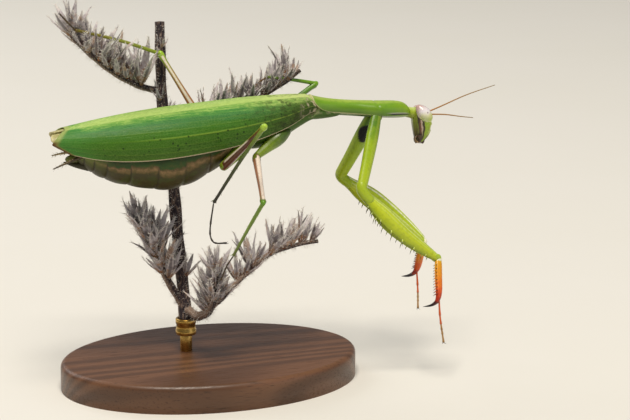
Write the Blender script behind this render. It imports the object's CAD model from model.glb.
import math
import random

import bmesh
import bpy
from mathutils import Matrix, Vector


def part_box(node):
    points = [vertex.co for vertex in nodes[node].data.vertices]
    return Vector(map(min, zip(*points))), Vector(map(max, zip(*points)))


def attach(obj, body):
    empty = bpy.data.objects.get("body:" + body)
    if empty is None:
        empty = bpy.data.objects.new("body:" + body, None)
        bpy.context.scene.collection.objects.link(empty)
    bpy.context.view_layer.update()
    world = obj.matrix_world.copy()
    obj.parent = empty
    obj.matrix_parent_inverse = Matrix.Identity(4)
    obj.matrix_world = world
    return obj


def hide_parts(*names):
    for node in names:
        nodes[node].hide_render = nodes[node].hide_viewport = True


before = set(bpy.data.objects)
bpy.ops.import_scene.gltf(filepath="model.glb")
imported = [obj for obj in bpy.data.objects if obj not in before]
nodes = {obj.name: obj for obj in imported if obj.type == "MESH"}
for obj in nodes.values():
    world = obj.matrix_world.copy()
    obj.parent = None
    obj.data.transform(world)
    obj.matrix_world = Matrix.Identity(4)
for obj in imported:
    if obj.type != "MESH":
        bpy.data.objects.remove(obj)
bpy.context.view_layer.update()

# A grown female praying mantis on a cut length of dried bristly stem, on a plain stand.
# Sizes are in millimetres, in the frame's own axes: +X ahead of the animal, +Y its left, +Z up.
mm = 0.001
scene = bpy.context.scene


camera = {"azimuth": -18, "elevation": 14, "distance": 460, "target": (20, 0, 30), "lens": 146}
studio = {"floorSize": 6.0, "floorColour": "dedcd5", "skyColour": "eef1f4", "skyStrength": 0.27}
lamps = {  # place in mm from the target, size in mm, strength in watts
    "keyLamp": {"place": (-140, -380, 1120), "size": 480, "watts": 14.4, "colour": "fff6e8"},
    "fillLamp": {"place": (420, -420, 160), "size": 420, "watts": 0.35, "colour": "f2f6ff"},
    "backLamp": {"place": (-260, 420, 330), "size": 360, "watts": 0.8, "colour": "ffffff"},
}


def rgb(code):  # a colour from its six-figure code
    parts = [int(code[i:i + 2], 16) / 255 for i in (0, 2, 4)]
    return tuple(c / 12.92 if c < 0.04045 else ((c + 0.055) / 1.055) ** 2.4 for c in parts)


def addCamera():
    a, e = math.radians(camera["azimuth"]), math.radians(camera["elevation"])
    back = Vector((math.sin(a) * math.cos(e), -math.cos(a) * math.cos(e), math.sin(e)))
    lens = bpy.data.cameras.new("camera")
    lens.lens, lens.sensor_width = camera["lens"], 36
    lens.clip_start, lens.clip_end = 0.01, 20
    obj = bpy.data.objects.new("camera", lens)
    obj.location = (Vector(camera["target"]) + back * camera["distance"]) * mm
    obj.rotation_euler = (-back).to_track_quat("-Z", "Y").to_euler()
    scene.collection.objects.link(obj)
    scene.camera = obj


def addLamps():
    aim = Vector(camera["target"])
    for name, lamp in lamps.items():
        light = bpy.data.lights.new(name, "AREA")
        light.size, light.energy = lamp["size"] * mm, lamp["watts"]
        light.color = rgb(lamp["colour"])
        obj = bpy.data.objects.new(name, light)
        place = aim + Vector(lamp["place"])
        obj.location = place * mm
        obj.rotation_euler = (aim - place).to_track_quat("-Z", "Y").to_euler()
        scene.collection.objects.link(obj)
    sky = bpy.data.worlds.new("sky")
    sky.use_nodes = True
    background = sky.node_tree.nodes["Background"]
    background.inputs["Color"].default_value = (*rgb(studio["skyColour"]), 1)
    background.inputs["Strength"].default_value = studio["skyStrength"]
    scene.world = sky
    scene.view_settings.view_transform = "Standard"


def mix(a, b, t):
    return a + (b - a) * t


def ease(value, low, high):  # 0 below low, 1 above high, smooth between
    t = min(1.0, max(0.0, (value - low) / (high - low)))
    return t * t * (3 - 2 * t)


def hump(value, centre, width):
    return math.exp(-((value - centre) / width) ** 2)


def readLine(line, x):  # reads a line of (x, value) points at x, curved between them
    if x <= line[0][0]:
        return line[0][1]
    if x >= line[-1][0]:
        return line[-1][1]
    i = next(k for k, p in enumerate(line) if p[0] > x) - 1
    j, last = i + 1, len(line) - 1
    slope = lambda a, b: (line[b][1] - line[a][1]) / (line[b][0] - line[a][0])
    step = line[j][0] - line[i][0]
    t = (x - line[i][0]) / step
    m0, m1 = slope(max(i - 1, 0), j), slope(i, min(j + 1, last))
    return ((2 * t**3 - 3 * t**2 + 1) * line[i][1] + (t**3 - 2 * t**2 + t) * step * m0
            + (3 * t**2 - 2 * t**3) * line[j][1] + (t**3 - t**2) * step * m1)


def power(value, p):  # keeps the sign
    return math.copysign(abs(value) ** p, value)


def fromTop(turn):  # 0 at the top of a skin, 1 at its underside
    return 1 - abs(1 - 2 * turn)


def turnTo(way):  # turns the z axis to point along way
    return way.to_track_quat("Z", "Y").to_matrix().to_4x4()


class Route:  # a smooth curve through points, read by the share of its length
    def __init__(self, points):
        points = [Vector(p) for p in points]
        reach = [0.0]
        for a, b in zip(points, points[1:]):
            reach.append(reach[-1] + (b - a).length)
        self.length = reach[-1]
        self.lines = [[(s / self.length, p[k]) for s, p in zip(reach, points)] for k in range(3)]

    def at(self, t):
        return Vector(readLine(line, t) for line in self.lines)

    def heading(self, t):
        a, b = max(0.0, t - 0.01), min(1.0, t + 0.01)
        return (self.at(b) - self.at(a)).normalized()


markNames = ("along", "down", "side", "tint")  # values at each vertex, which the materials read


def newShape():
    bm = bmesh.new()
    for name in markNames:
        bm.verts.layers.float.new(name)
    return bm


def marks(bm, *names):
    return [bm.verts.layers.float[name] for name in names]


def setMarks(bm, verts, **values):  # the same values for all of these vertices
    for v in verts:
        for name, value in values.items():
            v[bm.verts.layers.float[name]] = value


def crowd(t, amount=0.8):  # spacing of rings that is closer near both ends
    return t - amount * math.sin(2 * math.pi * t) / (2 * math.pi)


def roundOff(t, end):  # goes from 0 at each end to 1, like a dome
    return math.sqrt(max(0.0, 1 - max(0.0, 1 - min(t, 1 - t) / end) ** 2))


def loft(bm, place, rings, sides, tint=0.0):
    # a closed skin: place(t, turn), t from end to end and turn from the top round by the right
    made = bmesh.ops.create_grid(bm, x_segments=rings, y_segments=sides, size=0.5)["verts"]
    along, down, side, shade = marks(bm, *markNames)
    for v in made:
        t, turn = v.co.x + 0.5, v.co.y + 0.5
        v[along], v[down] = t, fromTop(turn)
        v[side], v[shade] = math.sin(2 * math.pi * turn), tint
        v.co = place(t, turn % 1.0)
    bmesh.ops.remove_doubles(bm, verts=made, dist=1e-5)
    return [v for v in made if v.is_valid]


def tube(bm, route, size, rings, sides, deepWay=(0, 0, 1), section=None, spread=crowd, tint=0.0):
    # a skin round a route; size(t) gives its half sizes across and deep, deepWay is its top side
    stations = {}
    def place(step, turn):
        if step not in stations:
            t = spread(step)
            heading = route.heading(t)
            across = heading.cross(Vector(deepWay)).normalized()
            stations[step] = t, route.at(t), across, across.cross(heading), size(t)
        t, centre, across, deep, (wide, high) = stations[step]
        a = 2 * math.pi * turn
        x, y = section(t, a) if section else (math.sin(a), math.cos(a))
        return centre + across * (wide * x) + deep * (high * y)
    return loft(bm, place, rings, sides, tint)


def blob(bm, centre, radii, turn=None, sides=16, tint=0.0):  # a small rounded lump
    placing = Matrix.Translation(centre) @ (turn or Matrix.Identity(4))
    placing = placing @ Matrix.Diagonal((*radii, 1))
    made = bmesh.ops.create_uvsphere(bm, u_segments=sides, v_segments=sides * 2 // 3, radius=1,
                                     matrix=placing)["verts"]
    setMarks(bm, made, tint=tint)
    return made


def ridged(height, count, twist=0):  # a round section with soft ridges down its length
    def section(t, a):
        ridge = 1 + height * math.cos(count * a + twist * t)
        return math.sin(a) * ridge, math.cos(a) * ridge
    return section


def thorn(bm, foot, tip, radius, bend=Vector((0, 0, 0)), rings=6, sides=8, tint=0.0):
    # a curved spine or claw that narrows to its point
    route = Route([foot, (foot + tip) / 2 + bend, tip])
    return tube(bm, route, lambda t: (radius * (1 - t) ** 0.8 + 0.004,) * 2, rings, sides,
                deepWay=bend if bend.length else (0.31, 0.2, 0.93), spread=lambda t: t, tint=tint)


def finishPiece(bm, name, materials, replaced):
    bmesh.ops.recalc_face_normals(bm, faces=bm.faces)
    bmesh.ops.scale(bm, vec=(mm, mm, mm), verts=bm.verts)
    mesh = bpy.data.meshes.new(name)
    bm.to_mesh(mesh)
    bm.free()
    for polygon in mesh.polygons:
        polygon.use_smooth = True
    for material in materials:
        mesh.materials.append(material)
    obj = bpy.data.objects.new(name, mesh)
    scene.collection.objects.link(obj)
    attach(obj, "root")
    if replaced:
        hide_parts(*replaced)
    print(f"{name}: {len(mesh.polygons)} faces")


def crossSection(names, x):  # the corners of a cut through CAD nodes at x
    points = []
    for name in names:
        cut = bmesh.new()
        cut.from_mesh(nodes[name].data)
        bmesh.ops.bisect_plane(cut, geom=cut.verts[:] + cut.edges[:] + cut.faces[:],
                               plane_co=(x * mm, 0, 0), plane_no=(1, 0, 0),
                               clear_inner=True, clear_outer=True)
        points += [v.co / mm for v in cut.verts]
        cut.free()
    return points


def bodyLines(names, rear, front, count):  # top, underside and half width of CAD nodes along X
    lines = {"top": [], "low": [], "wide": []}
    for i in range(count):
        x = mix(rear, front, i / (count - 1))
        points = crossSection(names, x)
        if points:
            lines["top"].append((x, max(p.z for p in points)))
            lines["low"].append((x, min(p.z for p in points)))
            lines["wide"].append((x, max(abs(p.y) for p in points)))
    return lines


def boxOf(name):  # a CAD node's lowest and highest corner
    return [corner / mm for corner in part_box(name)]


class Paint:  # builds one material's nodes
    def __init__(self, name, roughness=0.4, coat=0.0, metal=0.0, specular=0.4):
        self.material = bpy.data.materials.new(name)
        self.material.use_nodes = True
        self.tree = self.material.node_tree
        self.shader = self.tree.nodes["Principled BSDF"]
        self.shader.inputs["Roughness"].default_value = roughness
        self.shader.inputs["Coat Weight"].default_value = coat
        self.shader.inputs["Coat Roughness"].default_value = 0.25
        self.shader.inputs["Metallic"].default_value = metal
        self.shader.inputs["Specular IOR Level"].default_value = specular

    def plug(self, socket, value):
        if isinstance(value, bpy.types.NodeSocket):
            self.tree.links.new(value, socket)
        elif isinstance(value, str):
            socket.default_value = (*rgb(value), 1)
        else:
            socket.default_value = value

    def add(self, kind, out, values, **settings):
        node = self.tree.nodes.new("ShaderNode" + kind)
        for key, value in settings.items():
            setattr(node, key, value)
        for key, value in values.items():
            self.plug(node.inputs[key], value)
        return node.outputs[out]

    def places(self, stretch=(1, 1, 1)):  # object coordinates in millimetres
        coords = self.add("TexCoord", "Object", {})
        scale = tuple(s / mm for s in stretch)
        return self.add("Mapping", "Vector", {"Vector": coords, "Scale": scale})

    def mark(self, name):  # one of the mesh's own values
        return self.add("Attribute", "Fac", {}, attribute_name=name)

    def noise(self, scale, detail=3.0, rough=0.55, stretch=(1, 1, 1)):
        return self.add("TexNoise", "Fac", {"Vector": self.places(stretch), "Scale": scale,
                                            "Detail": detail, "Roughness": rough})

    def drift(self, reach, *noise):  # wanders between -reach and reach
        return self.band(self.noise(*noise), 0.3, 0.7, (-reach, reach))

    def blots(self, low, high, *noise):  # soft blots, where the noise is above low to high
        return self.band(self.noise(*noise), low, high)

    def cells(self, scale, vector=None, feature="DISTANCE_TO_EDGE", stray=1.0):
        vector = vector or self.places()
        return self.add("TexVoronoi", "Distance", {"Vector": vector, "Scale": scale,
                                                   "Randomness": stray}, feature=feature)

    def maths(self, how, first, *others):
        for other in others:
            first = self.add("Math", 0, {0: first, 1: other}, operation=how)
        return first

    def plus(self, *values):
        return self.maths("ADD", *values)

    def minus(self, *values):
        return self.maths("SUBTRACT", *values)

    def times(self, *values):
        return self.maths("MULTIPLY", *values)

    def larger(self, *values):
        return self.maths("MAXIMUM", *values)

    def band(self, value, low, high, out=(0.0, 1.0)):  # a smooth change between low and high
        return self.add("MapRange", 0, {"Value": value, 1: low, 2: high, 3: out[0], 4: out[1]},
                        interpolation_type="SMOOTHSTEP")

    def stripe(self, value, centre, width, soft=0.5):  # 1 on a line, 0 away from it
        away = self.maths("ABSOLUTE", self.minus(value, centre), 0.0)
        return self.band(away, width * (1 - soft), width * (1 + soft), (1.0, 0.0))

    def over(self, under, colour, where, share=None):  # one colour laid over another
        if share is not None:
            where = self.times(where, share)
        return self.add("Mix", 2, {0: where, 6: under, 7: colour}, data_type="RGBA")

    def stops(self, value, *stops):  # a colour ramp of (place, colour) stops
        node = self.tree.nodes.new("ShaderNodeValToRGB")
        ramp = node.color_ramp
        while len(ramp.elements) < len(stops):
            ramp.elements.new(0.5)
        for element, (place, colour) in zip(ramp.elements, stops):
            element.position, element.color = place, (*rgb(colour), 1)
        self.plug(node.inputs["Fac"], value)
        return node.outputs["Color"]

    def vector(self, x, y):
        return self.add("CombineXYZ", 0, {0: x, 1: y})

    def done(self, colour, height=None, depth=0.05, strength=1.0, roughness=None):
        self.plug(self.shader.inputs["Base Color"], colour)
        if roughness is not None:
            self.plug(self.shader.inputs["Roughness"], roughness)
        if height is not None:
            bump = self.add("Bump", 0, {"Height": height, "Strength": strength,
                                        "Distance": depth * mm})
            self.plug(self.shader.inputs["Normal"], bump)
        return self.material


veinLines = {  # places from the costal edge to the back, and widths; they fan out from the root
    "main": (0.3, 0.011), "mainShade": ((0.272, 0.01), (0.33, 0.01)),
    "fine": ((0.09, 0.005), (0.18, 0.004), (0.41, 0.005), (0.5, 0.004), (0.59, 0.004),
             (0.7, 0.004), (0.82, 0.006)),
    "raised": (0.09, 0.18, 0.3, 0.41, 0.59, 0.82), "raisedWidth": 0.008,
    "fan": 0.07, "fanFrom": 0.6,
}


def wingCaseGreen():
    p = Paint("wingCaseGreen", 0.5, coat=0.03, specular=0.2)
    along, across = p.mark("along"), p.mark("down")  # root to tip, costal edge to back
    grain = p.drift(0.022, 0.45, 4.0)
    streak = p.drift(0.04, 1.0, 3.0, 0.6, (0.12, 1.6, 1.6))
    folded = p.times(p.band(along, 0.9, 1.0), -0.2)  # the pale back narrows to the tail corner
    folded = p.plus(folded, p.band(along, 0.42, 0.06, (0.0, 0.13)))  # and widens at the root
    place = p.plus(across, grain, streak, folded)
    field = p.stops(place, (0.0, "36570e"), (0.14, "335c0c"), (0.3, "3b6a0c"), (0.42, "366a18"),
                    (0.53, "2c6c2c"), (0.61, "3a7e32"), (0.69, "74a242"), (0.78, "90b656"),
                    (0.9, "a6c06a"), (1.0, "9cba5e"))
    root = p.stops(place, (0.0, "202f05"), (0.3, "293c06"), (0.56, "365010"), (0.72, "6c8436"),
                   (0.84, "a0b262"), (1.0, "bcc97e"))
    field = p.over(field, root, p.band(along, 0.36, 0.02))  # more olive at the root
    field = p.over(field, "3d8434",
                   p.times(p.band(along, 0.8, 1.0), p.band(place, 0.8, 0.6, (0.0, 0.6))))
    # main veins run the length of the wing, fanning out from its root
    fan = p.plus(across, p.times(p.minus(veinLines["fanFrom"], along), veinLines["fan"]))
    veins = p.times(p.stripe(fan, *veinLines["main"], 0.8), p.band(along, 0.82, 0.5))
    for line in veinLines["fine"]:
        veins = p.larger(veins, p.times(p.stripe(fan, *line, 0.9), 0.3))
    shade = p.larger(*(p.stripe(fan, *line, 0.9) for line in veinLines["mainShade"]))
    net = p.vector(p.times(along, 105.0), p.times(across, 40.0))
    mesh = p.band(p.cells(1.0, net), 0.02, 0.16, (1.0, 0.0))
    slant = p.vector(p.plus(p.times(along, 30.0), p.times(across, 3.5)),
                     p.minus(p.times(across, 44.0), p.times(along, 57.0)))
    slantLines = p.band(p.cells(1.0, slant), 0.03, 0.2, (1.0, 0.0))
    upper = p.band(place, 0.56, 0.7)
    mesh = p.plus(p.times(mesh, p.minus(1.0, upper)), p.times(slantLines, upper))
    field = p.over(field, "b4cf74", p.times(mesh, p.band(upper, 0.0, 1.0, (0.07, 0.4))))
    between = p.times(p.band(slantLines, 0.7, 0.2), p.stripe(place, 0.78, 0.14, 0.6))
    field = p.over(field, "5c9440", between, 0.42)
    field = p.over(field, "35601c", shade, 0.3)
    field = p.over(field, "94ae3c", veins, 0.4)
    # dark flecks, most of them near the root and along the lower veins
    fleck = p.band(p.cells(1.3, feature="F1"), 0.18, 0.28, (1.0, 0.0))
    near = p.larger(p.times(p.band(along, 0.45, 0.1), p.band(across, 0.74, 0.6)),
                    p.stripe(across, 0.2, 0.14, 0.6))
    near = p.times(near, p.band(along, 0.93, 0.84))
    where = p.times(p.blots(0.46, 0.54, 0.5, 2.0), near)
    field = p.over(field, "1d3509", p.times(fleck, where))
    smudge = p.times(p.blots(0.48, 0.6, 0.9, 5.0, 0.65),
                     p.times(p.band(along, 0.36, 0.1), p.band(across, 1.0, 0.84)))
    field = p.over(field, "2b380a", smudge, 0.75)
    bare = p.times(p.blots(0.5, 0.6, 0.9, 5.0, 0.65), p.band(along, 0.085, 0.03))
    field = p.over(field, "b5ab8c", bare, 0.8)  # bare patches at the hinge
    # pale costal edge and brown tip
    field = p.over(field, "c9b89a", p.band(across, 0.016, 0.007))
    field = p.over(field, "a3ad62", p.band(along, 0.972, 0.99, (0.0, 0.75)))
    corner = p.times(p.band(along, 0.968, 0.995), p.band(across, 0.42, 0.26))
    field = p.over(field, "5d4020", corner)
    height = p.plus(veins, p.times(mesh, 0.3), p.times(streak, 12.0))
    rough = p.band(p.noise(3.0), 0.3, 0.7, (0.42, 0.54))
    return p.done(field, height, 0.05, 0.7, rough)


def hindWingAmber():
    p = Paint("hindWingAmber", 0.35, coat=0.1)
    net = p.band(p.cells(1.1, p.places((0.5, 1.4, 1.4))), 0.02, 0.1, (1.0, 0.0))
    field = p.stops(p.noise(0.9), (0.3, "a3a062"), (0.7, "b7af78"))
    field = p.over(field, "938a50", net, 0.5)
    field = p.over(field, "c4ba86", p.band(p.mark("along"), 0.985, 1.0))
    return p.done(field, net, 0.05, 0.6)


def shellGreen():  # pronotum
    p = Paint("shellGreen", 0.34, coat=0.22)
    along, down = p.mark("along"), p.mark("down")
    wave = p.drift(0.05, 0.5, 3.0, 0.5, (0.4, 1.0, 1.0))
    field = p.stops(p.plus(down, wave), (0.0, "a6bd50"), (0.12, "93b03a"), (0.24, "6f9a1e"),
                    (0.42, "638e12"), (0.56, "567e12"), (0.66, "46640f"), (0.8, "3c5410"))
    field = p.over(field, "8cab18", p.band(along, 0.72, 1.0), 0.7)
    field = p.over(field, "557d22", p.blots(0.48, 0.62, 1.6, 4.0), 0.22)
    stain = p.times(p.stripe(along, 0.58, 0.07, 0.9), p.stripe(down, 0.5, 0.18, 0.9))
    field = p.over(field, "7d9a20", stain, 0.25)
    field = p.over(field, "dccfa4", p.mark("tint"))  # the pale rim
    under = p.times(p.stripe(down, 0.6, 0.028, 0.3), p.stripe(along, 0.86, 0.1, 0.35))
    field = p.over(field, "121016", under)
    glint = p.times(p.stripe(down, 0.555, 0.018, 0.6), p.stripe(along, 0.85, 0.1, 0.5))
    field = p.over(field, "b9b6ae", glint, 0.7)
    height = p.plus(p.noise(5.0, 4.0), p.cells(3.5, feature="F1"))
    return p.done(field, height, 0.02, 0.5)


def bodyGreen():  # the soft body under the wings
    p = Paint("bodyGreen", 0.46, coat=0.04, specular=0.35)
    along, down, suture, jog = p.mark("along"), p.mark("down"), p.mark("tint"), p.mark("side")
    wave = p.drift(0.014, 0.9, 4.0)
    level = p.plus(down, wave, p.times(jog, 0.014))
    belly = p.stops(level, (0.5, "1f3808"), (0.548, "28460c"), (0.563, "5a4626"),
                    (0.585, "866a44"), (0.622, "5f4e24"), (0.645, "3c3510"), (0.82, "37300e"),
                    (1.0, "3d3612"))
    mottled = p.over(belly, "434210", p.blots(0.46, 0.62, 1.2, 4.0), 0.5)
    greenish = p.times(p.blots(0.5, 0.62, 0.5, 3.0), p.band(down, 0.56, 0.7))
    mottled = p.over(mottled, "3a4a12", greenish, 0.45)
    dotted = p.band(p.cells(2.4, feature="F1"), 0.12, 0.22, (0.45, 0.0))
    mottled = p.over(mottled, "3c3a18", dotted)
    tip = p.stops(down, (0.54, "6b7330"), (0.62, "565c22"), (0.72, "3a3812"), (0.9, "2f2b0e"))
    tail = p.over(mottled, tip, p.band(along, 0.15, 0.04))
    breast = p.stops(p.plus(down, wave), (0.3, "7a9a34"), (0.45, "4a7014"), (0.62, "35560c"),
                     (0.9, "455f14"))
    bare = p.times(p.blots(0.44, 0.62, 0.9, 5.0), p.band(along, 0.84, 0.87))
    breast = p.over(breast, "a89a80", p.times(bare, p.band(down, 0.62, 0.48, (0.0, 0.55))))
    field = p.over(tail, breast, p.band(along, 0.6, 0.68))
    field = p.over(field, "2c2410", suture, 0.8)
    height = p.plus(p.noise(2.5, 5.0), p.times(p.noise(9.0, 2.0), 0.4))
    return p.done(field, height, 0.07, 0.6)


def headGreen():
    p = Paint("headGreen", 0.34, coat=0.25)
    height, behind = p.mark("along"), p.mark("down")  # crown to mouth, face to nape
    wave = p.drift(0.012, 1.3)
    slant = p.times(p.minus(height, 0.45), 0.12)
    back = p.plus(behind, wave, slant)
    field = p.stops(height, (0.0, "b9c84e"), (0.3, "b0c634"), (0.55, "9cb422"), (0.75, "8f9e1c"),
                    (0.9, "5f5c12"), (1.0, "382410"))
    field = p.over(field, "d6d983", p.mark("tint"), 0.75)  # ridges of the face
    bright = p.stripe(back, 0.36, 0.07, 0.9)
    field = p.over(field, "a4cf2c", bright, 0.5)
    fade = p.band(height, 0.12, 0.3)
    field = p.over(field, "3a3010", p.times(p.stripe(back, 0.475, 0.034, 0.6), fade))
    field = p.over(field, "3a2612", p.times(p.stripe(back, 0.585, 0.06, 0.5), fade))
    nape = p.stops(height, (0.1, "a6b53c"), (0.4, "7f8c22"), (0.75, "4e4412"), (1.0, "22160a"))
    field = p.over(field, nape, p.band(back, 0.62, 0.68))
    paleLine = p.times(p.stripe(back, 0.522, 0.016, 0.6), p.band(height, 0.88, 0.6))
    field = p.over(field, "dcbfb2", paleLine)  # down from the eye
    rust = p.times(p.stripe(back, 0.56, 0.03, 0.8), p.stripe(height, 0.62, 0.14, 0.8))
    field = p.over(field, "8a5424", rust, 0.6)
    return p.done(field, p.noise(6.0, 4.0), 0.02, 0.5)


def eyeShell():
    p = Paint("eyeShell", 0.18, coat=0.5)
    low = p.plus(p.mark("along"), p.drift(0.06, 0.9))
    field = p.stops(low, (0.1, "c8b0ac"), (0.24, "d6c9c8"), (0.4, "dfd9de"), (0.54, "dcd8c4"),
                    (0.66, "d0cf94"), (0.85, "b3c25c"))
    rear = p.band(p.mark("side"), -0.3, -0.8)
    field = p.over(field, "a8776a", rear, 0.55)
    streaks = p.stripe(p.mark("side"), 0.1, 0.3, 0.95)
    field = p.over(field, "f1edf3", streaks, 0.25)
    pupil = p.band(p.mark("down"), 0.17, 0.07, (0.0, 0.8))
    field = p.over(field, "74485c", pupil)  # small dark centre
    facets = p.cells(14.0, feature="F1", stray=0.25)
    return p.done(field, facets, 0.02, 0.3)


def mouthBrown():
    p = Paint("mouthBrown", 0.3, coat=0.3)
    field = p.stops(p.noise(1.8), (0.35, "1f130b"), (0.6, "4a2f1a"), (0.8, "7a5a30"))
    field = p.over(field, "a08358", p.mark("tint"))
    return p.done(field, p.noise(6.0), 0.02, 0.5)


def feelerOrange():
    p = Paint("feelerOrange", 0.45)
    along = p.mark("along")
    rings = p.maths("SINE", p.times(along, 320.0), 0.0)
    field = p.stops(along, (0.0, "b8742a"), (0.35, "a5722e"), (0.7, "8a6c34"), (1.0, "76602e"))
    field = p.over(field, "6f5026", p.band(rings, 0.2, 0.9, (0.0, 0.45)))
    return p.done(field, rings, 0.01, 0.5)


def neckCream():
    p = Paint("neckCream", 0.4, coat=0.1)
    field = p.stops(p.mark("down"), (0.0, "c9d58e"), (0.35, "a3b83a"), (0.7, "8d9a2c"),
                    (1.0, "6f7427"))
    return p.done(field, p.noise(5.0), 0.03, 0.5)


def legPaint(name, stops, line=None, lineColour="e8dfc4", edge=None, edgeColour="",
             under="241c0e", span=(0.47, 0.44)):
    # slim legs: a run of colours along the part, a pale line and a coloured edge down it
    p = Paint(name, 0.34, coat=0.2)
    along, down = p.mark("along"), p.mark("down")
    wave = p.drift(0.04, 0.9, 3.0)
    field = p.stops(p.plus(along, wave), *stops)
    if edge:
        field = p.over(field, edgeColour, p.stripe(down, *edge), 0.9)
    field = p.over(field, under, p.band(down, 0.55, 1.0, (0.0, 0.35)))
    if line:
        paleLine = p.times(p.stripe(down, *line), p.stripe(along, *span, 0.15))
        field = p.over(field, lineColour, paleLine)
    field = p.over(field, "3c2f16", p.blots(0.52, 0.64, 4.0, 3.0), 0.25)
    field = p.over(field, "160f0a", p.mark("tint"))  # dark points of spines and claws
    return p.done(field, p.noise(7.0, 4.0), 0.02, 0.5)


def armLime():  # femur of a grasping leg
    p = Paint("armLime", 0.36, coat=0.2)
    along, down = p.mark("along"), p.mark("down")  # back of the femur to its spined edge
    wave = p.drift(0.04, 0.7, 3.0)
    field = p.stops(p.plus(down, wave), (0.0, "c3d24c"), (0.2, "b0c61e"), (0.42, "bccb26"),
                    (0.6, "b6c21a"), (0.8, "9fae12"), (1.0, "82920e"))
    green = p.band(along, 0.35, 0.05)
    field = p.over(field, "7fa31a", green, 0.45)
    field = p.over(field, "f2f5da", p.stripe(down, 0.12, 0.04), 0.85)
    field = p.over(field, "dfe8a8", p.stripe(down, 0.34, 0.03, 0.8), 0.55)
    field = p.over(field, "c9d678", p.stripe(down, 0.47, 0.02, 0.8), 0.35)
    field = p.over(field, "839410", p.blots(0.5, 0.64, 1.8, 4.0), 0.3)
    field = p.over(field, "e9ebc4", p.band(along, 0.955, 0.99), 0.8)
    field = p.over(field, "1a1208", p.mark("tint"))
    return p.done(field, p.plus(p.noise(6.0, 4.0), p.cells(4.0, feature="F1")), 0.025, 0.5)


def coxaLime():
    p = Paint("coxaLime", 0.38, coat=0.06)
    along, down = p.mark("along"), p.mark("down")
    field = p.stops(p.plus(along, p.drift(0.05, 0.7)),
                    (0.02, "8a9a4a"), (0.08, "4f7410"), (0.28, "537d0c"), (0.42, "8aa80e"),
                    (0.7, "a2b812"), (1.0, "aab81c"))
    field = p.over(field, "b9c64a", p.stripe(down, 0.5, 0.1), 0.3)
    field = p.over(field, "7a8a0a", p.blots(0.5, 0.64, 1.8, 4.0), 0.3)
    field = p.over(field, "08070b", p.mark("tint"))  # the spot at the root
    return p.done(field, p.noise(5.0, 4.0), 0.03, 0.5,
                  p.band(p.mark("tint"), 0.0, 1.0, (0.36, 0.75)))


def shinOrange():
    p = Paint("shinOrange", 0.28, coat=0.3)
    along = p.mark("along")
    field = p.stops(p.plus(along, p.drift(0.03, 1.2)),
                    (0.0, "efeccb"), (0.07, "e6dfa0"), (0.13, "d2bc34"), (0.2, "d89c10"),
                    (0.4, "dc860a"), (0.52, "d8580a"), (0.6, "ac2e0c"), (0.66, "4a100a"))
    field = p.over(field, "0c0607", p.mark("tint"))
    return p.done(field, p.noise(6.0), 0.02, 0.5)


def toePaint(name, light, dark, first=None):
    p = Paint(name, 0.35, coat=0.15)
    field = p.stops(p.noise(1.5), (0.3, dark), (0.7, light))
    if first:  # the long first joint
        field = p.over(field, first, p.band(p.mark("side"), 0.52, 0.4))
    field = p.over(field, "2c1a0c", p.band(p.mark("along"), 0.7, 0.95), 0.55)  # joint ends
    field = p.over(field, "120c08", p.mark("tint"))
    return p.done(field, p.noise(8.0), 0.02, 0.5)


def barkDark():
    p = Paint("barkDark", 0.85, specular=0.2)
    fibre = p.noise(1.3, 5.0, 0.6, (3.0, 3.0, 0.5))
    field = p.stops(fibre, (0.3, "1f1a20"), (0.48, "3a3338"), (0.62, "7a675c"), (0.75, "b09a8a"))
    sunny = p.band(p.mark("side"), -0.4, 0.9)
    field = p.over(field, "ae9684", p.times(sunny, p.band(p.mark("along"), 0.7, 0.5, (0.3, 0.7))))
    field = p.over(field, "b09c80", p.band(p.mark("along"), 0.9985, 0.9995))  # cut end
    field = p.over(field, "efe9df", p.mark("tint"))
    return p.done(field, fibre, 0.12, 0.9)


def driedFlower():
    p = Paint("driedFlower", 0.9, specular=0.15)
    along = p.mark("along")
    streak = p.noise(1.6, 4.0, 0.6)
    field = p.stops(p.plus(along, p.band(streak, 0.3, 0.7, (-0.2, 0.2))),
                    (0.0, "8a5230"), (0.18, "a88a74"), (0.4, "b5adb0"), (0.75, "c8c0c2"),
                    (1.0, "e2dcd6"))
    rib = p.times(p.stripe(p.mark("down"), 0.06, 0.1), p.blots(0.4, 0.55, 0.4, 2.0))
    field = p.over(field, "4a4346", rib, 0.65)
    field = p.over(field, "5a5254", p.band(p.noise(0.55, 3.0), 0.53, 0.64, (0.0, 0.55)))
    field = p.over(field, "b08a68", p.blots(0.55, 0.68, 0.35, 2.0), 0.6)
    field = p.over(field, "f1ece3", p.mark("tint"))  # bristles
    return p.done(field, p.noise(3.5, 4.0), 0.1, 0.8)


def oiledWood():
    p = Paint("oiledWood", 0.4, coat=0.15)
    # the rings are this slow change's contours
    growth = p.noise(0.03, 2.0, 0.4, (0.09, 1.0, 1.0))
    rings = p.band(p.maths("SINE", p.times(growth, 130.0), 0.0), -1.0, 1.0)
    pores = p.noise(1.8, 4.0, 0.6, (0.12, 2.2, 2.2))
    field = p.stops(rings, (0.0, "553824"), (0.5, "60402a"), (1.0, "6d4a32"))
    field = p.over(field, "2e1c10", p.band(pores, 0.55, 0.68, (0.0, 0.6)))
    return p.done(field, pores, 0.05, 0.5, p.band(pores, 0.4, 0.7, (0.36, 0.55)))


def turnedBrass():
    p = Paint("turnedBrass", 0.28, metal=1.0)
    lines = p.noise(1.5, 2.0, 0.6, (0.3, 0.3, 9.0))
    field = p.stops(p.noise(0.4, 3.0), (0.35, "b08a45"), (0.65, "d0ac62"))
    return p.done(field, lines, 0.02, 0.5, p.band(lines, 0.3, 0.7, (0.2, 0.36)))


def plainFloor():
    p = Paint("plainFloor", 0.9, specular=0.1)
    return p.done(p.stops(p.noise(0.02), (0.3, "dfddd7"), (0.7, studio["floorColour"])))


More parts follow.
